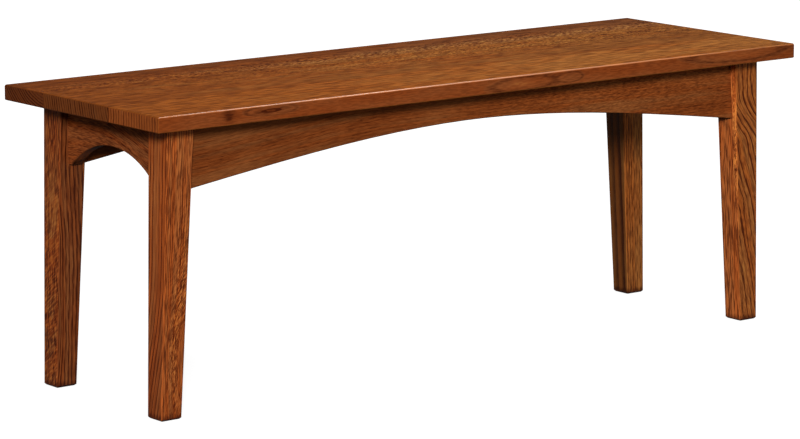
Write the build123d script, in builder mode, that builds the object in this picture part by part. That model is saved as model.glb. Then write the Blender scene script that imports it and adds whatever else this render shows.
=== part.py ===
from build123d import *
import math
import os

# A backless plank-seat bench in the mission and shaker manner, in millimetres.
# X runs along the bench, the front faces -Y and Z is up.
# The origin is on the floor, under the middle of the seat.

# Seat
seat_length = 1240.0
seat_depth = 410.0
seat_height = 457.0
seat_thickness = 23.5
front_board_width = 129.0
middle_board_width = 172.0
seat_top_round = 3.0
seat_bottom_chamfer = 1.2
seat_corner_round = 3.0

# Legs: square, tapered on all four faces, leaning out along the bench
leg_top_size = 48.0
leg_foot_size = 36.0
leg_end_overhang = 43.0
leg_side_overhang = 41.5
leg_lean = 2.4
leg_arris_round = 2.0
foot_chamfer = 3.0

# Aprons
apron_thickness = 19.0
apron_setback = 12.5
long_apron_depth = 97.5
end_apron_depth = 92.0
long_arch_rise = 51.0
end_arch_rise = 42.0
end_arch_flat = 8.0
apron_arris_chamfer = 1.0

# A batten that is pushed up at its middle leaves its ends at this many rises per half span
batten_end_slope = 1.5

# Tenons on the aprons, mitred where two meet inside a leg, all of one height
tenon_thickness = 9.5
tenon_haunch = 15.0
tenon_lower_shoulder = 10.0
tenon_fit = 0.1
mitre_gap = 0.6

# Corner braces
brace_thickness = 19.0
brace_height = 42.0
brace_drop = 3.0
brace_clearance = 3.0

# Rail laid flat across the middle, under the seat
rail_width = 50.0
rail_thickness = 19.0
rail_tenon_width = 38.0
rail_tenon_thickness = 9.5
rail_tenon_length = 9.0

# Wooden buttons that hold the seat down and let it move across its width
button_length = 30.0
button_width = 25.0
button_thickness = 16.0
button_tongue = 7.0
button_tongue_thickness = 6.5
button_gap = 0.8
button_edge_round = 1.5
button_slot_play = 0.6
button_slot_side_play = 3.0
long_button_shares = (-0.27, 0.27)

# Pan-head wood screws
screw_radius = 2.1
screw_head_radius = 4.2
screw_head_height = 2.6
screw_fit = 0.1
seat_screw_grip = 15.0
leg_screw_grip = 16.0
button_screw_share = 0.6
rail_screw_shares = (-0.26, 0.0, 0.26)

# How far a cut runs past the face that it opens
overrun = 5.0

# Places worked out from the sizes
seat_underside = seat_height - seat_thickness
leg_length = seat_underside
leg_shift = leg_length * math.tan(math.radians(leg_lean))
leg_taper = (leg_top_size - leg_foot_size) / 2
leg_face_x = seat_length / 2 - leg_end_overhang
leg_face_y = seat_depth / 2 - leg_side_overhang
apron_mid_x = leg_face_x - apron_setback - apron_thickness / 2
apron_mid_y = leg_face_y - apron_setback - apron_thickness / 2
apron_inside_x = apron_mid_x - apron_thickness / 2
apron_inside_y = apron_mid_y - apron_thickness / 2
long_apron_bottom = seat_underside - long_apron_depth
end_apron_bottom = seat_underside - end_apron_depth
tenon_bottom = max(long_apron_bottom, end_apron_bottom) + tenon_lower_shoulder
tenon_height = seat_underside - tenon_haunch - tenon_bottom
rail_middle = seat_underside - rail_thickness / 2
front_joint_y = -seat_depth / 2 + front_board_width
rear_joint_y = front_joint_y + middle_board_width
seat_screw_length = button_thickness + seat_screw_grip
brace_screw_length = brace_thickness + brace_clearance + leg_screw_grip

LEFT, RIGHT = -1, 1
FRONT, REAR = -1, 1
SIDE_X_NAMES = {LEFT: "left", RIGHT: "right"}
SIDE_Y_NAMES = {FRONT: "front", REAR: "rear"}


def leg_drop(height):
    """How far down the leg a height is, from 0 at the seat to 1 at the floor."""
    return (seat_underside - height) / leg_length


def leg_inside_x(height):
    """X of the leg's inner face, which faces along the bench."""
    return leg_face_x - leg_top_size + leg_drop(height) * (leg_shift + leg_taper)


def leg_outside_x(height):
    """X of the leg's outer face, which shows at the bench's end."""
    return leg_face_x + leg_drop(height) * (leg_shift - leg_taper)


def leg_inside_y(height):
    """Y of the leg's inner face, which faces the other leg of the same end."""
    return leg_face_y - leg_top_size + leg_drop(height) * leg_taper


def leg_outside_y(height):
    """Y of the leg's outer face, which shows at the front or the rear."""
    return leg_face_y - leg_drop(height) * leg_taper


def long_tenon_plan(side_x, side_y, thickness, gap):
    """Plan corners of a long apron's tenon, from inside the apron to the mitre."""
    half = thickness / 2
    start = apron_inside_x - apron_thickness
    return [
        (side_x * start, side_y * (apron_mid_y - half)),
        (side_x * (apron_mid_x - half - gap), side_y * (apron_mid_y - half)),
        (side_x * (apron_mid_x + half - gap), side_y * (apron_mid_y + half)),
        (side_x * start, side_y * (apron_mid_y + half)),
    ]


def end_tenon_plan(side_x, side_y, thickness, gap):
    """Plan corners of an end apron's tenon, from inside the apron to the mitre."""
    half = thickness / 2
    start = apron_inside_y - apron_thickness
    return [
        (side_x * (apron_mid_x - half), side_y * start),
        (side_x * (apron_mid_x - half), side_y * (apron_mid_y - half - gap)),
        (side_x * (apron_mid_x + half), side_y * (apron_mid_y + half - gap)),
        (side_x * (apron_mid_x + half), side_y * start),
    ]


def mortise_plan(side_x, side_y):
    """Plan corners of the L that a leg's two mortises make, open on both inner faces."""
    half = tenon_thickness / 2 + tenon_fit
    start_x = apron_inside_x - apron_thickness
    start_y = apron_inside_y - apron_thickness
    corners = [
        (start_x, apron_mid_y - half),
        (apron_mid_x - half, apron_mid_y - half),
        (apron_mid_x - half, start_y),
        (apron_mid_x + half, start_y),
        (apron_mid_x + half, apron_mid_y + half),
        (start_x, apron_mid_y + half),
    ]
    return [(side_x * x, side_y * y) for x, y in corners]


def brace_inner_sum():
    """Distance along each apron from their inside corner to the brace's near edge."""
    protrusion = leg_top_size - apron_setback - apron_thickness
    return 2 * protrusion + brace_clearance * math.sqrt(2)


def brace_outer_sum():
    """Distance along each apron from their inside corner to the brace's far edge."""
    return brace_inner_sum() + brace_thickness * math.sqrt(2)


def brace_screw_seat(side_x, side_y):
    """Where the screw of one corner brace rests its head, aimed at the leg's inner arris."""
    back = brace_outer_sum() / 2
    height = seat_underside - brace_drop - brace_height / 2
    return Plane(origin=(side_x * (apron_inside_x - back), side_y * (apron_inside_y - back), height),
                 x_dir=(0, 0, 1), z_dir=(side_x, side_y, 0))


def long_button_places(side_y):
    """Planes on a long apron's inner face at the seat's underside, one for each button."""
    return [
        Plane(origin=(share * seat_length, side_y * apron_inside_y, seat_underside),
              x_dir=(0, -side_y, 0), z_dir=(0, 0, 1))
        for share in long_button_shares
    ]


def end_button_places(side_x):
    """The plane on an end apron's inner face at the seat's underside, for its one button."""
    return [
        Plane(origin=(side_x * apron_inside_x, 0, seat_underside),
              x_dir=(-side_x, 0, 0), z_dir=(0, 0, 1))
    ]


def all_button_places():
    """Every button's plane, the front ones first, then rear, left and right."""
    places = []
    for side_y in (FRONT, REAR):
        places += long_button_places(side_y)
    for side_x in (LEFT, RIGHT):
        places += end_button_places(side_x)
    return places


def button_screw_seat(place):
    """Where the screw of one button rests its head, under the button."""
    point = place.from_local_coords((button_screw_share * button_length, 0, -button_thickness))
    return Plane(origin=point, x_dir=place.x_dir, z_dir=(0, 0, 1))


def rail_screw_seats():
    """Where the screws of the middle rail rest their heads, under it."""
    return [
        Plane(origin=(0, share * seat_depth, seat_underside - rail_thickness),
              x_dir=(1, 0, 0), z_dir=(0, 0, 1))
        for share in rail_screw_shares
    ]


def seat_screw_seats():
    """Every screw that goes up into the seat boards."""
    return [button_screw_seat(place) for place in all_button_places()] + rail_screw_seats()


def save(part, name):
    """Label one finished piece and write it."""
    part.label = name
    export_step(part, f"parts/{name}.step")


def seat_board(name, low_y, high_y):
    """One board of the seat, cut from the plank that the glued boards make together."""
    with BuildPart() as board:
        with BuildSketch(Plane.XY.offset(seat_underside)):
            Rectangle(seat_length, seat_depth)
        extrude(amount=seat_thickness)
        fillet(board.edges().filter_by(Axis.Z), radius=seat_corner_round)
        fillet(board.faces().sort_by(Axis.Z)[-1].edges(), radius=seat_top_round)
        chamfer(board.faces().sort_by(Axis.Z)[0].edges(), length=seat_bottom_chamfer)
        with Locations(*seat_screw_seats()):
            Cylinder(screw_radius + screw_fit, seat_screw_length + screw_fit,
                     align=(Align.CENTER, Align.CENTER, Align.MIN), mode=Mode.SUBTRACT)
        split(bisect_by=Plane(origin=(0, low_y, 0), z_dir=(0, 1, 0)), keep=Keep.TOP)
        split(bisect_by=Plane(origin=(0, high_y, 0), z_dir=(0, 1, 0)), keep=Keep.BOTTOM)
    save(board.part, name)


def leg_profile(side, inside, outside):
    """Corners of a leg seen square on, with the chamfers of its foot."""
    return [
        (side * outside(seat_underside), seat_underside),
        (side * inside(seat_underside), seat_underside),
        (side * inside(foot_chamfer), foot_chamfer),
        (side * (inside(0) + foot_chamfer), 0),
        (side * (outside(0) - foot_chamfer), 0),
        (side * outside(foot_chamfer), foot_chamfer),
    ]


def leg(side_x, side_y):
    """One leg: a prism seen from the front, cut by the one seen from the end."""
    with BuildPart() as post:
        with BuildSketch(Plane.XZ):
            with BuildLine():
                Polyline(*leg_profile(side_x, leg_inside_x, leg_outside_x), close=True)
            make_face()
        extrude(amount=seat_depth, both=True)
        with BuildSketch(Plane.YZ):
            with BuildLine():
                Polyline(*leg_profile(side_y, leg_inside_y, leg_outside_y), close=True)
            make_face()
        extrude(amount=seat_length, both=True, mode=Mode.INTERSECT)
        fillet(post.edges().sort_by(SortBy.LENGTH)[-4:], radius=leg_arris_round)

        # The two mortises meet behind the corner, so they are cut as one L
        with BuildSketch(Plane.XY.offset(tenon_bottom - tenon_fit)):
            with BuildLine():
                Polyline(*mortise_plan(side_x, side_y), close=True)
            make_face()
        extrude(amount=tenon_height + 2 * tenon_fit, mode=Mode.SUBTRACT)

        # The pilot hole of the brace's screw, into the inner arris
        with Locations(brace_screw_seat(side_x, side_y)):
            Cylinder(screw_radius + screw_fit, brace_screw_length + screw_fit,
                     align=(Align.CENTER, Align.CENTER, Align.MIN), mode=Mode.SUBTRACT)
    save(post.part, f"leg_{SIDE_Y_NAMES[side_y]}_{SIDE_X_NAMES[side_x]}")


def cut_button_slots(places):
    """Stopped slots for the button tongues, in the open part builder."""
    slot_height = button_tongue_thickness + button_slot_play
    slot_top = button_thickness - button_tongue_thickness
    with Locations(*places):
        with Locations((overrun, 0, -slot_top)):
            Box(button_tongue + button_slot_play + overrun, button_width + 2 * button_slot_side_play,
                slot_height, align=(Align.MAX, Align.CENTER, Align.MAX), mode=Mode.SUBTRACT)


def long_apron(side_y):
    """A front or rear apron. Its lower edge is the curve of a batten sprung between the legs."""
    end_x = leg_inside_x(long_apron_bottom)
    batten_rise = batten_end_slope * long_arch_rise
    with BuildPart() as apron:
        with BuildSketch(Plane.XZ.offset(-side_y * apron_mid_y - apron_thickness / 2)):
            with BuildLine():
                Polyline(
                    (-end_x, long_apron_bottom),
                    (-leg_inside_x(seat_underside), seat_underside),
                    (leg_inside_x(seat_underside), seat_underside),
                    (end_x, long_apron_bottom),
                )
                Spline((end_x, long_apron_bottom), (0, long_apron_bottom + long_arch_rise),
                       (-end_x, long_apron_bottom),
                       tangents=[(-end_x, batten_rise), (-end_x, -batten_rise)])
            make_face()
        extrude(amount=apron_thickness)
        chamfer(apron.edges().filter_by(GeomType.BSPLINE), length=apron_arris_chamfer)
        for side_x in (LEFT, RIGHT):
            with BuildSketch(Plane.XY.offset(tenon_bottom)):
                with BuildLine():
                    Polyline(*long_tenon_plan(side_x, side_y, tenon_thickness, mitre_gap), close=True)
                make_face()
            extrude(amount=tenon_height)
        cut_button_slots(long_button_places(side_y))

        # The blind mortise of the middle rail
        with Locations((0, side_y * (apron_inside_y - overrun), rail_middle)):
            Box(rail_tenon_width + 2 * tenon_fit, 2 * (rail_tenon_length + mitre_gap + overrun),
                rail_tenon_thickness + 2 * tenon_fit, mode=Mode.SUBTRACT)
    save(apron.part, f"apron_{SIDE_Y_NAMES[side_y]}")


def end_apron(side_x):
    """A left or right apron. Its lower edge is one arc between two short flats."""
    end_y = leg_inside_y(end_apron_bottom)
    arch_y = end_y - end_arch_flat
    with BuildPart() as apron:
        with BuildSketch(Plane.YZ.offset(side_x * apron_mid_x - apron_thickness / 2)):
            with BuildLine():
                Polyline(
                    (-arch_y, end_apron_bottom),
                    (-end_y, end_apron_bottom),
                    (-leg_inside_y(seat_underside), seat_underside),
                    (leg_inside_y(seat_underside), seat_underside),
                    (end_y, end_apron_bottom),
                    (arch_y, end_apron_bottom),
                )
                ThreePointArc((arch_y, end_apron_bottom), (0, end_apron_bottom + end_arch_rise),
                              (-arch_y, end_apron_bottom))
            make_face()
        extrude(amount=apron_thickness)
        flats = apron.edges().filter_by(Axis.Y).group_by(Axis.Z)[0]
        chamfer(apron.edges().filter_by(GeomType.CIRCLE) + flats, length=apron_arris_chamfer)
        for side_y in (FRONT, REAR):
            with BuildSketch(Plane.XY.offset(tenon_bottom)):
                with BuildLine():
                    Polyline(*end_tenon_plan(side_x, side_y, tenon_thickness, mitre_gap), close=True)
                make_face()
            extrude(amount=tenon_height)
        cut_button_slots(end_button_places(side_x))
    save(apron.part, f"apron_{SIDE_X_NAMES[side_x]}")


def corner_brace(side_x, side_y):
    """A brace across one corner, glued to both aprons and screwed to the leg."""
    near = brace_inner_sum()
    far = brace_outer_sum()
    plan = [(near, 0), (far, 0), (0, far), (0, near)]
    with BuildPart() as brace:
        with BuildSketch(Plane.XY.offset(seat_underside - brace_drop - brace_height)):
            with BuildLine():
                Polyline(*[(side_x * (apron_inside_x - along), side_y * (apron_inside_y - across))
                           for along, across in plan], close=True)
            make_face()
        extrude(amount=brace_height)
        with Locations(brace_screw_seat(side_x, side_y)):
            Cylinder(screw_radius + screw_fit, brace_thickness,
                     align=(Align.CENTER, Align.CENTER, Align.MIN), mode=Mode.SUBTRACT)
    save(brace.part, f"corner_brace_{SIDE_Y_NAMES[side_y]}_{SIDE_X_NAMES[side_x]}")


def middle_rail():
    """The flat rail across the middle of the frame, with a stub tenon in each long apron."""
    with BuildPart() as rail:
        with BuildSketch(Plane.XY.offset(rail_middle)):
            Rectangle(rail_width, 2 * apron_inside_y)
        extrude(amount=rail_thickness / 2, both=True)
        with BuildSketch(Plane.XY.offset(rail_middle)):
            Rectangle(rail_tenon_width, 2 * (apron_inside_y + rail_tenon_length))
        extrude(amount=rail_tenon_thickness / 2, both=True)
        with Locations(*rail_screw_seats()):
            Cylinder(screw_radius + screw_fit, rail_thickness,
                     align=(Align.CENTER, Align.CENTER, Align.MIN), mode=Mode.SUBTRACT)
    save(rail.part, "middle_rail")


def button(place, name):
    """One wooden button: a block under the seat whose tongue hooks into an apron's slot."""
    tongue_top = button_tongue_thickness - button_thickness
    profile = Plane(origin=place.origin, x_dir=place.x_dir, z_dir=place.x_dir.cross(Vector(0, 0, 1)))
    with BuildPart() as block:
        with BuildSketch(profile):
            with BuildLine():
                Polyline(
                    (-button_tongue, -button_thickness),
                    (button_length, -button_thickness),
                    (button_length, 0),
                    (button_gap, 0),
                    (button_gap, tongue_top),
                    (-button_tongue, tongue_top),
                    close=True,
                )
            make_face()
        extrude(amount=button_width / 2, both=True)
        far_edges = block.faces().sort_by(Axis(place.origin, place.x_dir))[-1].edges()
        fillet(far_edges.filter_by(Axis.Z), radius=button_edge_round)
        with Locations(button_screw_seat(place)):
            Cylinder(screw_radius + screw_fit, button_thickness,
                     align=(Align.CENTER, Align.CENTER, Align.MIN), mode=Mode.SUBTRACT)
    save(block.part, name)


def screws(seats, length, name):
    """A group of like screws, each turned about its own axis from the seat of its head."""
    with BuildPart() as group:
        for seat in seats:
            with BuildSketch(Plane(origin=seat.origin, x_dir=seat.x_dir, z_dir=-seat.y_dir)):
                with BuildLine():
                    Polyline(
                        (0, -screw_head_height),
                        (screw_head_radius, -screw_head_height),
                        (screw_head_radius, 0),
                        (screw_radius, 0),
                        (screw_radius, length),
                        (0, length),
                        close=True,
                    )
                make_face()
            revolve(axis=Axis(seat.origin, seat.z_dir))
    save(group.part, name)


def build():
    """Make every piece of the bench and write it."""
    os.makedirs("parts", exist_ok=True)
    seat_board("seat_board_front", -seat_depth / 2 - overrun, front_joint_y)
    seat_board("seat_board_middle", front_joint_y, rear_joint_y)
    seat_board("seat_board_rear", rear_joint_y, seat_depth / 2 + overrun)
    for side_y in (FRONT, REAR):
        long_apron(side_y)
        for side_x in (LEFT, RIGHT):
            leg(side_x, side_y)
            corner_brace(side_x, side_y)
    for side_x in (LEFT, RIGHT):
        end_apron(side_x)
    middle_rail()
    for number, place in enumerate(all_button_places(), start=1):
        button(place, f"seat_button_{number}")
    screws(seat_screw_seats(), seat_screw_length, "seat_screws")
    brace_seats = [brace_screw_seat(side_x, side_y) for side_y in (FRONT, REAR) for side_x in (LEFT, RIGHT)]
    screws(brace_seats, brace_screw_length, "brace_screws")


build()
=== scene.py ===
import math

import bpy
import numpy as np
from mathutils import Matrix, Vector


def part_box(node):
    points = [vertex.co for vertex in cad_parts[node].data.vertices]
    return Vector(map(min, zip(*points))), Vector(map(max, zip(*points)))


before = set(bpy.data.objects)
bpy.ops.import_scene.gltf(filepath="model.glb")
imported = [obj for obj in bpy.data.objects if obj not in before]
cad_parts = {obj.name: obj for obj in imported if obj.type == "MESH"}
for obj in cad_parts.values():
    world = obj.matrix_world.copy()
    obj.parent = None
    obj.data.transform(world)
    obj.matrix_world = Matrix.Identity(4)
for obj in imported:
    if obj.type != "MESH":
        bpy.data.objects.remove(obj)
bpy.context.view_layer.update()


# The photograph's view

IMAGE_WIDTH = 800
FOCAL_PIXELS = 3820.0
SENSOR_MM = 36.0
VIEW_AZIMUTH = math.radians(-37.838)
VIEW_PITCH = math.radians(10.463)
VIEW_ROLL = math.radians(-0.095)
VIEW_PLACE = Vector((-3.629, -4.6368, 1.2969))


def set_camera():
    """A long lens that looks at the front left corner from above the seat.

    Its back direction is (sin a cos p, -cos a cos p, sin p) for the azimuth a and the pitch p.
    Its right direction is level, then turned about the line of sight by the roll.
    """
    back = Vector((math.sin(VIEW_AZIMUTH) * math.cos(VIEW_PITCH),
                   -math.cos(VIEW_AZIMUTH) * math.cos(VIEW_PITCH),
                   math.sin(VIEW_PITCH)))
    level = Vector((math.cos(VIEW_AZIMUTH), math.sin(VIEW_AZIMUTH), 0))
    upright = back.cross(level)
    right = math.cos(VIEW_ROLL) * level + math.sin(VIEW_ROLL) * upright
    up = math.cos(VIEW_ROLL) * upright - math.sin(VIEW_ROLL) * level
    lens = bpy.data.cameras.new("view")
    lens.sensor_fit = "HORIZONTAL"
    lens.sensor_width = SENSOR_MM
    lens.lens = FOCAL_PIXELS * SENSOR_MM / IMAGE_WIDTH
    lens.clip_end = 100
    camera = bpy.data.objects.new("view", lens)
    turn = Matrix((right, up, back)).transposed().to_4x4()
    camera.matrix_world = Matrix.Translation(VIEW_PLACE) @ turn
    bpy.context.scene.collection.objects.link(camera)
    bpy.context.scene.camera = camera


# Shader tools

class Link:
    """One output socket of a finish. Arithmetic on it adds Math nodes to the finish."""

    def __init__(self, finish, socket):
        self.finish = finish
        self.socket = socket

    def __add__(self, other):
        return self.finish.maths("ADD", self, other)

    def __sub__(self, other):
        return self.finish.maths("SUBTRACT", self, other)

    def __mul__(self, other):
        return self.finish.maths("MULTIPLY", self, other)

    def __truediv__(self, other):
        return self.finish.maths("DIVIDE", self, other)

    def __radd__(self, other):
        return self.finish.maths("ADD", other, self)

    def __rsub__(self, other):
        return self.finish.maths("SUBTRACT", other, self)

    def __rmul__(self, other):
        return self.finish.maths("MULTIPLY", other, self)

    def __rtruediv__(self, other):
        return self.finish.maths("DIVIDE", other, self)


class Made:
    """A node that a finish has added. Its outputs are read by name or number."""

    def __init__(self, finish, node):
        self.finish = finish
        self.node = node

    def __getitem__(self, output):
        return Link(self.finish, self.node.outputs[output])


class Finish:
    """The node tree of a material or of the world."""

    def __init__(self, tree):
        self.tree = tree
        tree.nodes.clear()

    def node(self, kind, settings=None, inputs=None):
        """Add a node, apply its settings, then fill its sockets with values or links."""
        node = self.tree.nodes.new(kind)
        for name, value in (settings or {}).items():
            setattr(node, name, value)
        for name, value in (inputs or {}).items():
            if isinstance(value, Link):
                self.tree.links.new(value.socket, node.inputs[name])
            else:
                node.inputs[name].default_value = value
        return Made(self, node)

    def maths(self, operation, *values):
        """One Math node on numbers or links."""
        return self.node("ShaderNodeMath", {"operation": operation}, dict(enumerate(values)))["Value"]

    def step(self, value, low, high):
        """A smooth step of a link, from 0 at low to 1 at high."""
        return self.node("ShaderNodeMapRange", {"interpolation_type": "SMOOTHSTEP"},
                         {"Value": value, "From Min": low, "From Max": high})["Result"]

    def bell(self, value):
        """A bell curve, exp(-value), of a link that is 0 in the middle and grows outwards."""
        return self.maths("EXPONENT", value * -1.0)

    def vector(self, x, y, z):
        """Three numbers or links as one vector."""
        return self.node("ShaderNodeCombineXYZ", None, {"X": x, "Y": y, "Z": z})["Vector"]

    def split(self, vector):
        """A node whose outputs X, Y and Z are the three parts of a vector."""
        return self.node("ShaderNodeSeparateXYZ", None, {"Vector": vector})

    def noise(self, vector, detail, scale=1.0):
        """Noise from 0 to 1, whose features are about 1 / scale of the vector's unit in size."""
        return self.node("ShaderNodeTexNoise", None,
                         {"Vector": vector, "Scale": scale, "Detail": detail})["Fac"]

    def blend(self, factor, first, second, how="MIX"):
        """Mix two colours."""
        return self.node("ShaderNodeMix", {"data_type": "RGBA", "blend_type": how},
                         {0: factor, 6: first, 7: second})[2]


def new_finish(name):
    """A new material and its finish."""
    material = bpy.data.materials.new(name)
    material.use_nodes = True
    return material, Finish(material.node_tree)


# Grain of one cut of oak, with sizes and places in mm

MM = 1000.0
CLOUD_SIZE = (120.0, 26.0, 26.0)
PORE_SIZE = (9.0, 0.6, 0.6)
PORE_STEP = (0.52, 0.68)
STROKE_STEP = (0.42, 0.58)
FLECK_STEP = (0.44, 0.6)
EARLY_RISE = (0.0, 0.14)
EARLY_FALL = 0.18
LEAST_EARLY = 0.35
EARLY_SPREAD = 0.9
MEAN_STROKES = 0.5
MEAN_RINGS = 0.3
MEAN_FLECKS = 0.3
MEAN_DEPTH = 0.42
PORE_DEPTH = 0.2
LATE_PORES = 0.3
PORE_DIP = 0.5
STROKE_DIP = 0.4
EARLY_DIP = 0.2


def spot(u, v, place, reach):
    """A soft spot on a face, 1 in its middle: exp(-(du^2 + dv^2)), each in its own reach."""
    du = (u - place[0]) / reach[0]
    dv = (v - place[1]) / reach[1]
    return u.finish.bell(du * du + dv * dv)


def cells(f, u, v, w, size, start, detail=1.0):
    """Noise in cells of the size (length, breadth, thickness). Start picks another part of it."""
    length, across, inward = size
    return f.noise(f.vector(u / length + start, v / across, w / inward), detail)


def bent(f, u, v, cut):
    """The place v across the grain, shifted between two places along it and round each burl."""
    for low, high, by in cut["bends"]:
        v = v + f.step(u, low, high) * by
    for place, reach, push in cut["burls"]:
        v = v + spot(u, v, place, reach) * push
    return v


def growth(f, u, v, w, cloud, cut):
    """The growth rings: how much earlywood there is, and a random number for each year.

    A point lies at the distance r from the pith line, which clouds sway and eyes raise or lower
    in a spot. The fractional part of r / ring runs through one year: porous dark earlywood first,
    more in some years than in others, then plain latewood.
    """
    length, across = cut["wave"]
    ripple = cells(f, u, v, w, (length, across, across), cut["seed"] * 3, 2.0) - 0.5
    rv = v - u * cut["drift"][0] - cut["pith"][0] + ripple * cut["ripple"]
    rw = w - u * cut["drift"][1] - cut["pith"][1]
    r = f.maths("SQRT", rv * rv + rw * rw) + cloud * cut["sway"]
    for place, reach, push in cut["eyes"]:
        r = r + spot(u, v, place, reach) * push
    years = r / cut["ring"]
    chance = f.node("ShaderNodeTexWhiteNoise", {"noise_dimensions": "1D"},
                    {"W": f.maths("FLOOR", years) + cut["seed"]})["Value"]
    within = f.maths("FRACT", years)
    early = (f.step(within, *EARLY_RISE) * (1.0 - f.step(within, EARLY_FALL, cut["fall"]))
             * (chance * EARLY_SPREAD + LEAST_EARLY))
    if "ring_zone" in cut:
        early = early * spot(u, v, *cut["ring_zone"])
    return early, chance


def figure(f, u, v, w, cut):
    """What one cut shows at a point u along the grain, v across the face and w into the piece.

    Depth is how dark the stain is. It adds up the earlywood, the dark and light strokes of the
    pores, single fine pores, soft clouds, the marks of the rays and the stains. Cloud runs from
    -0.5 to 0.5. Blush is the cloud and each year's own share, and turns the hue. Early is the
    earlywood. Relief is how high the wood stands: pores, strokes and earlywood lie lower. Each
    kind of mark starts at its own multiple of the seed, so that no two share a pattern.
    """
    seed = cut["seed"]
    v = bent(f, u, v, cut)
    cloud = cells(f, u, v, w, CLOUD_SIZE, seed, 3.0) - 0.5
    early, chance = growth(f, u, v, w, cloud, cut)
    pores = f.step(cells(f, u, v, w, PORE_SIZE, seed * 5), *PORE_STEP)
    strokes = f.step(cells(f, u, v, w, cut["stroke"], seed * 7), *STROKE_STEP)
    depth = (early * cut["rings"] + strokes * cut["strokes"] + pores * (early + LATE_PORES) * PORE_DEPTH
             + cloud * cut["cloud"]
             + (MEAN_DEPTH - MEAN_STROKES * cut["strokes"] - MEAN_RINGS * cut["rings"]))
    if cut["flecks"]:
        length, across, slant = cut["fleck"]
        flecks = f.step(cells(f, u, v - u * slant, w, (length, across, across), seed * 9), *FLECK_STEP)
        depth = depth + (MEAN_FLECKS - flecks) * spot(u, v, *cut["fleck_zone"]) * cut["flecks"]
    for place, reach, amount in cut["stains"]:
        depth = depth + spot(u, v, place, reach) * amount
    blush = cloud + (chance - 0.5) * cut["blush"]
    relief = pores * -PORE_DIP - early * EARLY_DIP - strokes * STROKE_DIP
    return {"depth": depth, "cloud": cloud, "blush": blush, "early": early, "relief": relief}


# Oak: colours are factors of a piece's tone, turns are parts of the normal, and lengths are in mm

LIGHT_WOOD = (1.62, 1.62, 1.62)
DARK_WOOD = (0.34, 0.26, 0.30)
SAP_WOOD = (2.5, 3.3, 3.0)
# The lighter colour of rubbed arrises, which is wear and also a painted highlight
RUBBED_AND_HIGHLIGHT_WOOD = (2.6, 2.6, 2.6)
SAP_STEP = (0.0, 0.6)
HUE_STEP = (-0.25, 0.25)
ARRIS_TURN = (0.86, 0.99)
END_ARRIS_TURN = (0.15, 0.35)
EDGE_ARRIS_TURN = (0.2, 0.4)
UPWARD_TURN = (0.25, 0.5)
RUBBED_AND_HIGHLIGHT_STEP = (-0.12, 0.10)
END_DEPTH = 0.45
END_SHARE = 0.75
MEAN_EARLY = 0.35
END_ARRIS_DEPTH = 0.55
END_ARRIS_SHARE = 0.8
FOOT_SHADE_DEPTH = 0.9
# Where the seat's polish and its painted highlight lie along the grain, and how much of the polish is
# painted into the colour as a highlight
POLISH_AND_HIGHLIGHT_MIDDLE = -60.0
POLISH_AND_HIGHLIGHT_REACH = 520.0
POLISH_PAINTED_HIGHLIGHT = 0.4
LEG_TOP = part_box("leg_front_left")[1].z * MM
LEAN = 0.0419    # tangent of the 2.4 degrees by which the legs lean out


def dyed(tone, factors):
    """A shader's colour from a tone and a factor for each of red, green and blue."""
    return (*(part * factor for part, factor in zip(tone, factors)), 1)


def sides(f, normal, stock):
    """Masks of the piece's edges, its end grain, the arrises of its ends and those of its edges."""
    grain_axis, edge_axis = stock["axes"][:2]
    turned = {axis: f.maths("ABSOLUTE", normal[axis]) for axis in "XYZ"}
    flat = f.maths("MAXIMUM", f.maths("MAXIMUM", turned["X"], turned["Y"]), turned["Z"])
    turning = 1.0 - f.step(flat, *ARRIS_TURN)
    edge = f.step(turned[edge_axis], *stock["edge_turn"])
    end = f.step(turned[grain_axis], *stock["end_turn"])
    end_arris = turning * f.step(turned[grain_axis], *END_ARRIS_TURN)
    edge_arris = turning * f.step(turned[edge_axis], *EDGE_ARRIS_TURN)
    return edge, end, end_arris, edge_arris


def soaked(f, grain, u, end, end_arris, stock):
    """The stain's depth, with the rings of the end grain, its darker arrises and painted shade that darkens
    a leg's foot towards the floor.
    """
    depth = grain["depth"]
    rings = END_DEPTH + (grain["early"] - MEAN_EARLY) * stock["end_rings"]
    depth = depth + (rings - depth) * end * END_SHARE
    depth = depth + (END_ARRIS_DEPTH - depth) * end_arris * END_ARRIS_SHARE
    # Painted shade: the foot grows darker towards the floor
    if "foot" in stock:
        depth = depth + (1.0 - f.step(u, 0.0, stock["foot"])) * FOOT_SHADE_DEPTH
    return depth


def stained(f, depth, warmth, stock):
    """Light wood at depth 0, dark wood at 1 and pale sapwood below 0, in a hue of its own."""
    tone = stock["tone"]
    shade = f.node("ShaderNodeClamp", None, {"Value": depth})["Result"]
    color = f.blend(shade, dyed(tone, LIGHT_WOOD), dyed(tone, DARK_WOOD))
    color = f.blend(f.step(depth * -1.0, *SAP_STEP), color, dyed(tone, SAP_WOOD))
    hue = f.blend(warmth, (*stock["cool"], 1), (*stock["warm"], 1))
    return f.blend(1.0, color, hue, "MULTIPLY")


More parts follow.
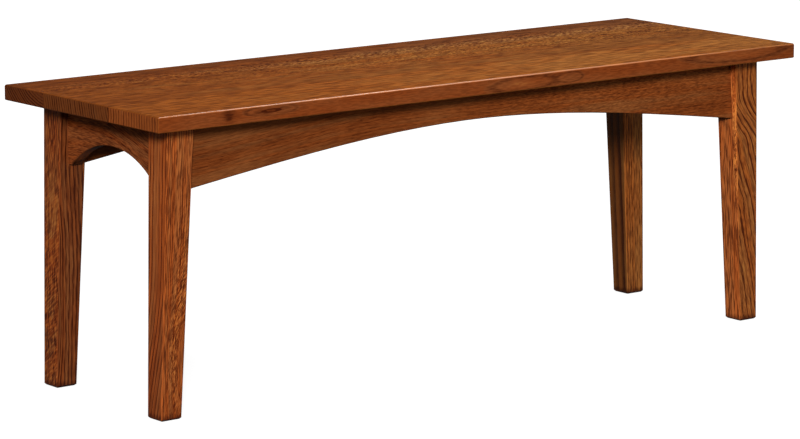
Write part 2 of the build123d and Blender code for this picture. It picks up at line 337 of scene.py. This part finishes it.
def oak(name, stock):
    """Stained oak on one piece, with one cut on its faces and another on its edges."""
    material, f = new_finish(name)
    coordinates = f.node("ShaderNodeTexCoord")
    place = f.split(coordinates["Object"])
    normal = f.split(coordinates["Normal"])
    along = {axis: place[axis] * MM for axis in "XYZ"}
    along["X"] = along["X"] + (along["Z"] - LEG_TOP) * stock["lean"]
    u, v, w = (along[axis] for axis in stock["axes"])
    edge, end, end_arris, edge_arris = sides(f, normal, stock)
    grain = figure(f, u, v, w, stock["face"])
    if "edge" in stock:
        other = figure(f, u, w, v, stock["edge"])
        for part in ("depth", "blush", "relief"):
            grain[part] = grain[part] + (other[part] - grain[part]) * edge

    # End grain and edges take the stain differently from the face; on the aprons, the dark edge tint is
    # painted shade on their lower edges and under their arches
    warmth = f.step(grain["blush"] - u * stock["drift"] * (1.0 - edge), *HUE_STEP)
    color = stained(f, soaked(f, grain, u, end, end_arris, stock), warmth, stock)
    color = f.blend(end, color, (*stock["end_tint"], 1), "MULTIPLY")
    color = f.blend(edge, color, (*stock["edge_tint"], 1), "MULTIPLY")

    # Arrises: rubbed thin where hands and legs pass and lightened there, partly as wear and partly as a
    # painted highlight, and polished along the seat's long arrises
    rubbed_and_highlight = edge_arris * f.step(grain["cloud"], *RUBBED_AND_HIGHLIGHT_STEP) * stock["wear"]
    coat = stock["coat"]
    if stock["polish"]:
        away = (u - POLISH_AND_HIGHLIGHT_MIDDLE) / POLISH_AND_HIGHLIGHT_REACH
        polish = edge_arris * f.step(normal["Z"], *UPWARD_TURN) * f.bell(away * away) * stock["polish"]
        # Painted highlight: part of the polish lightens the colour along the long upper arrises
        rubbed_and_highlight = rubbed_and_highlight + polish * POLISH_PAINTED_HIGHLIGHT
        coat = polish + coat
    color = f.blend(rubbed_and_highlight, color, dyed(stock["tone"], RUBBED_AND_HIGHLIGHT_WOOD))

    bump = f.node("ShaderNodeBump", None, {"Strength": 0.35, "Distance": 0.0002, "Height": grain["relief"]})
    surface = f.node("ShaderNodeBsdfPrincipled", None, {
        "Base Color": color,
        "Roughness": 0.55 + grain["relief"] * -0.15,
        "Specular IOR Level": 0.0,
        "Coat Weight": coat,
        "Coat Roughness": 0.3,
        "Coat IOR": 1.6,
        "Normal": bump["Normal"],
    })
    f.node("ShaderNodeOutputMaterial", None, {"Surface": surface["BSDF"]})
    return material


# Cuts: a plain straight one, and the same as it runs in the seat boards and in the aprons. A place
# is (u, v) and a reach is how far a spot goes in each. A cut may also have a ring_zone, to which its
# rings keep, and a fleck, the length, breadth and slant of the rays' marks, in a fleck_zone. A zone
# is (place, reach).

CUT = dict(
    seed=0.0,                   # which part of the noise the cut takes
    bends=(),                   # (from u, to u, shift across) of the grain's lines
    burls=(),                   # (place, reach, push across) of a spot in the lines
    eyes=(),                    # (place, reach, rise) of a spot in the rings
    stains=(),                  # (place, reach, depth) of a darker or lighter spot
    pith=(-900.0, 0.0),         # the pith line's place across and inward, where u is 0
    drift=(0.0, 0.0),           # and its shift across and inward for each mm along
    wave=(42.0, 14.0),          # a ripple's length and breadth
    ripple=1.5,                 # how far ripples push the rings
    sway=5.0,                   # how far clouds push the rings
    ring=5.5,                   # breadth of one year
    fall=0.6,                   # part of the year after which all is latewood
    rings=0.5,                  # depth of the earlywood
    stroke=(14.0, 1.7, 4.0),    # a pore stroke's length, breadth and thickness
    strokes=0.5,                # depth of the strokes
    cloud=0.5,                  # depth of the clouds
    flecks=0.0,                 # depth of the rays' marks
    blush=0.4)                  # change of hue from year to year
BOARD = dict(CUT, ring=8.0, rings=0.3, stroke=(40.0, 5.0, 14.0), blush=0.2)
RAIL = dict(CUT, ring=8.0, rings=0.25, stroke=(16.0, 1.1, 4.0), strokes=0.3)
END_RAIL = dict(RAIL, bends=((-160.0, 40.0, -45.0),))

# Stock: the oak of any piece, and the same as it is in the seat, the legs, the aprons and inside. A stock
# also has its tone, the cut of its face, and where it differs that of its edge. A leg's foot is darkened as
# painted shade, up to a given height above the floor.

OAK = dict(
    axes="XYZ",                     # the axes along the grain, across the face and into the piece
    lean=0.0,                       # shift of X for each mm of height, which stands a leg upright
    drift=0.0,                      # how much cooler the hue grows for each mm along
    cool=(0.94, 1.06, 1.22),        # factors of the coolest hue
    warm=(1.06, 0.93, 0.80),        # and of the warmest
    end_tint=(0.62, 0.52, 0.62),    # factors on the end grain
    end_turn=(0.6, 0.95),           # turn of the normal at which end grain begins and is full
    end_rings=0.7,                  # depth of the rings on the end grain
    edge_tint=(1.0, 1.0, 1.0),      # factors on the edges
    edge_turn=(0.6, 0.9),           # turn of the normal at which an edge begins and is full
    wear=0.35,                      # how far arrises are rubbed and lightened, as wear and as a painted highlight
    polish=0.0,                     # gloss that hands and legs leave on the long upper arrises, and a painted highlight there in the colour
    coat=0.05)                      # lacquer everywhere
SEAT = dict(OAK, drift=0.0004, wear=0.2, polish=1.42, coat=0.025)
# A leg's end tint reaches the chamfers of its foot, which are partly end grain and partly darkened as
# painted shade
LEG = dict(OAK, axes="ZXY", end_turn=(0.4, 0.7), foot=13.0)
LEFT_LEG = dict(LEG, lean=-LEAN)
RIGHT_LEG = dict(LEG, lean=LEAN)
# An apron's edge tint darkens its lower edges and the undersides of its arches: painted shade
APRON = dict(OAK, axes="XZY", edge_tint=(0.12, 0.15, 0.24), edge_turn=(0.3, 0.65), coat=0.02)
END_APRON = dict(APRON, axes="YZX", tone=(0.203, 0.0515, 0.0128))
RAW = dict(OAK, tone=(0.42, 0.26, 0.13), end_tint=(0.8, 0.76, 0.7), wear=0.2, coat=0.02)


# Sticks: the stock of each stained piece. A leg's face is its front and rear, its edge its sides

STICKS = {}

# Front seat board: quiet figure on top, and eyes and knots along the front edge
STICKS["seat_board_front"] = dict(
    SEAT, tone=(0.234, 0.073, 0.012), edge_tint=(0.645, 0.49, 0.635), end_tint=(0.92, 0.83, 1.24),
    end_rings=0.85, cool=(0.97, 1.11, 1.36),
    face=dict(BOARD, seed=1.7, pith=(300.0, 445.0), ring=6.6, strokes=0.55, stroke=(36.0, 4.5, 12.0)),
    edge=dict(CUT, seed=2.9, pith=(445.0, -110.0), ring=3.0, fall=0.34, rings=0.65, sway=1.5,
              wave=(60.0, 9.0), stroke=(16.0, 1.8, 5.0), strokes=0.3,
              eyes=(((-421.0, 448.0), (40.0, 6.0), 5.0),
                    ((50.0, 444.0), (70.0, 9.0), 3.2),
                    ((149.0, 445.0), (22.0, 6.5), 3.4),
                    ((494.0, 449.0), (103.0, 9.6), 3.4)),
              stains=(((-497.0, 447.0), (10.0, 9.0), 0.75),
                      ((-434.0, 446.5), (17.0, 2.4), 0.5),
                      ((-410.0, 449.5), (18.0, 2.4), 0.5),
                      ((50.0, 444.0), (36.0, 5.0), -0.4),
                      ((494.0, 449.0), (60.0, 6.0), -0.45),
                      ((520.0, 445.0), (170.0, 60.0), 0.13))))

# Middle seat board: darker, with ray flecks that thin out to the left
STICKS["seat_board_middle"] = dict(
    SEAT, tone=(0.191, 0.057, 0.0098), end_tint=(0.58, 0.58, 0.91), end_rings=1.6,
    face=dict(BOARD, seed=4.3, pith=(-260.0, 510.0), ring=6.0, stroke=(36.0, 4.5, 12.0),
              flecks=0.75, fleck=(7.0, 3.4, 0.35), fleck_zone=((300.0, 55.0), (750.0, 60.0)),
              stains=(((480.0, 10.0), (240.0, 120.0), 0.10),
                      ((-350.0, 85.0), (320.0, 30.0), 0.15))))

# Rear seat board: the darkest, with a band of flecks and a light streak along it
STICKS["seat_board_rear"] = dict(
    SEAT, tone=(0.152, 0.0445, 0.0098), end_tint=(0.60, 0.58, 0.89), end_rings=1.4,
    cool=(0.94, 1.06, 1.30), warm=(1.06, 0.90, 0.66),
    face=dict(BOARD, seed=8.1, pith=(80.0, 540.0), ring=4.8, rings=0.2, strokes=0.4,
              flecks=1.15, fleck=(7.0, 3.4, 0.25), fleck_zone=((200.0, 112.0), (1100.0, 38.0)),
              stains=(((250.0, 96.0), (560.0, 34.0), -0.16),
                      ((250.0, 170.0), (800.0, 45.0), 0.11),
                      ((480.0, 150.0), (240.0, 90.0), 0.05))))

# Left front leg: a burl with flecks low on the front, and broad rings that bend on the sides
STICKS["leg_front_left"] = dict(
    LEFT_LEG, tone=(0.248, 0.061, 0.0128), edge_tint=(1.04, 1.00, 1.03), wear=0.45,
    face=dict(CUT, seed=2.2, ring=3.5, rings=0.7, fall=0.5, ripple=2.4, wave=(30.0, 10.0), strokes=0.8,
              stroke=(24.0, 1.6, 4.0), cloud=0.25, burls=(((95.0, -533.0), (75.0, 20.0), 40.0),),
              flecks=1.4, fleck=(8.0, 2.2, 0.6), fleck_zone=((130.0, -536.0), (130.0, 20.0)),
              stains=(((60.0, -556.0), (150.0, 90.0), 0.12),
                      ((130.0, -536.0), (140.0, 24.0), 0.3),
                      ((300.0, -556.0), (150.0, 90.0), 0.06))),
    edge=dict(CUT, seed=3.6, ring=6.2, fall=0.45, rings=0.95, strokes=0.45, stroke=(40.0, 2.0, 4.0),
              ripple=0.8, sway=2.0, bends=((-60.0, 220.0, 40.0),),
              stains=(((330.0, -110.0), (90.0, 30.0), -0.12),
                      ((60.0, -110.0), (110.0, 60.0), 0.24))))

# Left rear leg: lines bowed by two burls on the front, and ring lines at the top of the sides
STICKS["leg_rear_left"] = dict(
    LEFT_LEG, tone=(0.119, 0.030, 0.0076), edge_tint=(1.53, 1.38, 1.20),
    face=dict(CUT, seed=5.1, ring=6.8, rings=1.2, strokes=0.6, stroke=(24.0, 1.9, 4.0),
              ripple=3.0, bends=((180.0, 370.0, 12.0), (-40.0, 250.0, 4.0)),
              burls=(((90.0, -582.0), (75.0, 17.0), -24.0),
                     ((235.0, -582.0), (55.0, 15.0), -18.0)),
              # The first two stains darken the strip of the front beside the left apron: darker wood, and
              # painted shade under the seat
              stains=(((370.0, -571.0), (90.0, 8.0), 0.6),
                      ((430.0, -566.0), (50.0, 12.0), 0.4),
                      ((200.0, -531.0), (250.0, 7.0), 0.3))),
    edge=dict(CUT, seed=6.3, pith=(139.0, -633.4), drift=(0.0, 0.12), ring=4.0, rings=0.9,
              ring_zone=((410.0, 139.0), (100.0, 60.0)), strokes=0.95, stroke=(20.0, 2.1, 4.0),
              flecks=0.75, fleck=(12.0, 4.0, -1.2), fleck_zone=((90.0, 140.0), (190.0, 80.0)),
              stains=(((265.0, 130.0), (22.0, 20.0), -0.2),
                      ((90.0, 140.0), (120.0, 80.0), 0.32))))

# Right front leg: wild rings on the front, and a pale streak with flecks on the sides
STICKS["leg_front_right"] = dict(
    RIGHT_LEG, tone=(0.190, 0.053, 0.0110), edge_tint=(2.0, 1.86, 1.98),
    face=dict(CUT, seed=3.4, ring=9.4, rings=1.15, fall=0.5, ripple=14.0, wave=(60.0, 16.0),
              strokes=0.6, stroke=(14.0, 1.6, 4.0), sway=9.0,
              burls=(((430.0, 585.0), (75.0, 24.0), 16.0),),
              bends=((290.0, 378.0, 46.0), (180.0, 310.0, 26.0), (-60.0, 240.0, 46.0))),
    edge=dict(CUT, seed=7.7, rings=0.25, ripple=4.0, wave=(30.0, 9.0), strokes=0.85,
              stroke=(30.0, 2.2, 4.0), cloud=0.3,
              flecks=1.5, fleck=(6.0, 2.0, 0.0), fleck_zone=((300.0, -158.0), (95.0, 6.0)),
              stains=(((355.0, -158.5), (36.0, 6.0), -0.85),
                      ((230.0, -161.5), (120.0, 3.0), -0.35))))

# Right rear leg: plain, with broad soft rings on the darker sides
STICKS["leg_rear_right"] = dict(
    RIGHT_LEG, tone=(0.205, 0.064, 0.0130), edge_tint=(0.58, 0.58, 0.60),
    face=dict(CUT, seed=6.6, rings=0.7, ripple=6.0, wave=(24.0, 12.0), strokes=0.6,
              stroke=(20.0, 1.7, 4.0)),
    edge=dict(CUT, seed=9.9, ring=15.0, fall=0.8, rings=0.8, strokes=0.15, cloud=1.1))

# Front apron: cloudy, with fine strokes, and flecks over the right half
STICKS["apron_front"] = dict(
    APRON, tone=(0.170, 0.0465, 0.0105), drift=-0.0001,
    face=dict(RAIL, seed=9.2, bends=((-600.0, -150.0, -38.0),), ring=5.0, rings=0.15, cloud=0.85,
              flecks=0.55, fleck=(9.0, 1.3, 0.05), fleck_zone=((330.0, 390.0), (330.0, 90.0)),
              stains=(((-420.0, 400.0), (200.0, 90.0), 0.06),)))

# Rear apron: plain
STICKS["apron_rear"] = dict(APRON, tone=(0.176, 0.048, 0.0107), face=dict(RAIL, seed=10.5))

# Left apron: strong strokes, and lighter towards the rear
STICKS["apron_left"] = dict(
    END_APRON,
    face=dict(END_RAIL, seed=11.9, strokes=0.75, stains=(((115.0, 400.0), (70.0, 90.0), -0.22),)))

# Right apron: plain
STICKS["apron_right"] = dict(END_APRON, face=dict(END_RAIL, seed=12.4))


def finish_sticks():
    """Give every stained piece its own stick of oak, with the grain that its faces show."""
    for node, stick in STICKS.items():
        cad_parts[node].data.materials[0] = oak(node, stick)


def finish_inside():
    """Leave the braces, the rail and the buttons in raw oak, each with a figure of its own."""
    for number, (node, piece) in enumerate(sorted(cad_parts.items())):
        if node.startswith(("corner_brace", "middle_rail", "seat_button")):
            axes = "YXZ" if node == "middle_rail" else "XYZ"
            piece.data.materials[0] = oak(node, dict(RAW, axes=axes, face=dict(CUT, seed=20.0 + number)))


def zinc():
    """Zinc plate in fine patches of lighter and darker grey."""
    material, f = new_finish("zinc_screw")
    patch = f.noise(f.node("ShaderNodeTexCoord")["Object"], 3.0, scale=900.0)
    surface = f.node("ShaderNodeBsdfPrincipled", None, {
        "Base Color": f.blend(patch, (0.42, 0.42, 0.40, 1), (0.66, 0.66, 0.63, 1)),
        "Metallic": 1.0,
        "Roughness": 0.28 + patch * 0.2,
    })
    f.node("ShaderNodeOutputMaterial", None, {"Surface": surface["BSDF"]})
    return material


def finish_screws():
    """Plate all the screws alike."""
    plate = zinc()
    for node in ("seat_screws", "brace_screws"):
        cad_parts[node].data.materials[0] = plate


# Floor and background, in metres

FLOOR_RADII = (0.0001, 1.0, 4.0, 14.0)
FLOOR_SIDES = 64
FLOOR_HEIGHT = -0.0002
NEAR_WHITE = 0.90
WHITE_STEP = (0.9, 3.0)


def shown(f):
    """1 where the camera, a glossy ray or a transmitted ray meets the background."""
    path = f.node("ShaderNodeLightPath")
    seen = f.maths("MAXIMUM", path["Is Camera Ray"], path["Is Glossy Ray"])
    return f.maths("MAXIMUM", seen, path["Is Transmission Ray"])


def white_paper():
    """Paper that shows white, a little less near the bench, but throws little light on it."""
    material, f = new_finish("white_paper")
    matte = f.node("ShaderNodeBsdfDiffuse", None, {"Color": (0.06, 0.06, 0.06, 1)})
    place = f.split(f.node("ShaderNodeTexCoord")["Object"])
    away = f.maths("SQRT", place["X"] * place["X"] + place["Y"] * place["Y"])
    glow = f.step(away, *WHITE_STEP) * (1.0 - NEAR_WHITE) + NEAR_WHITE
    white = f.node("ShaderNodeBsdfPrincipled", None, {
        "Base Color": (0.3, 0.3, 0.3, 1),
        "Roughness": 1.0,
        "Specular IOR Level": 0.0,
        "Emission Color": f.vector(glow, glow, glow),
        "Emission Strength": 1.0,
    })
    mixed = f.node("ShaderNodeMixShader", None, {0: shown(f), 1: matte["BSDF"], 2: white["BSDF"]})
    f.node("ShaderNodeOutputMaterial", None, {"Surface": mixed["Shader"]})
    return material


def make_floor():
    """A flat disc: the point at (radius, angle) lies at radius (cos angle, sin angle)."""
    radius, angle = np.meshgrid(FLOOR_RADII, np.linspace(0, 2 * math.pi, FLOOR_SIDES, endpoint=False),
                                indexing="ij")
    height = np.full_like(angle, FLOOR_HEIGHT)
    points = np.stack([radius * np.cos(angle), radius * np.sin(angle), height], axis=-1)
    rows, columns = radius.shape
    index = np.arange(rows * columns).reshape(rows, columns)
    after = np.roll(index, -1, axis=1)
    faces = np.stack([index[:-1], index[1:], after[1:], after[:-1]], axis=-1).reshape(-1, 4)
    mesh = bpy.data.meshes.new("floor")
    mesh.from_pydata(points.reshape(-1, 3).tolist(), [], faces.tolist())
    mesh.materials.append(white_paper())
    floor = bpy.data.objects.new("floor", mesh)
    bpy.context.scene.collection.objects.link(floor)


# Light: each lamp's place and the size of its disc in metres, and its power in watts

SKY_STRENGTH = 0.17
LIT_POINT = Vector((0, 0, 0.35))
LAMPS = {
    "key": ((-8.13, -10.56, 4.85), 2.4, 1845.0),
    "top": ((0.58, -0.1, 2.3), 1.1, 27.6),
    "fill": ((3.4, -7.2, 1.35), 2.0, 63.0),
    "behind": ((5.0, 8.0, 0.4), 2.4, 330.0),
}


def make_sky():
    """A dim pale sky that shows white."""
    world = bpy.data.worlds.new("studio")
    bpy.context.scene.world = world
    world.use_nodes = True
    f = Finish(world.node_tree)
    pale = f.node("ShaderNodeBackground", None, {"Color": (1, 1, 1, 1), "Strength": SKY_STRENGTH})
    white = f.node("ShaderNodeBackground", None, {"Color": (1, 1, 1, 1), "Strength": 1.0})
    mixed = f.node("ShaderNodeMixShader", None, {0: shown(f), 1: pale["Background"], 2: white["Background"]})
    f.node("ShaderNodeOutputWorld", None, {"Surface": mixed["Shader"]})


def make_lamps():
    """A key lamp at the front left, one overhead, a fill, and one behind that casts no highlight."""
    for name, (place, size, power) in LAMPS.items():
        disc = bpy.data.lights.new(name, "AREA")
        disc.shape = "DISK"
        disc.size = size
        disc.energy = power
        lamp = bpy.data.objects.new(name, disc)
        lamp.location = place
        lamp.rotation_euler = (LIT_POINT - Vector(place)).to_track_quat("-Z", "Y").to_euler()
        lamp.visible_glossy = name != "behind"
        bpy.context.scene.collection.objects.link(lamp)


bpy.context.scene.view_settings.view_transform = "Standard"
set_camera()
make_floor()
make_sky()
make_lamps()
finish_sticks()
finish_inside()
finish_screws()
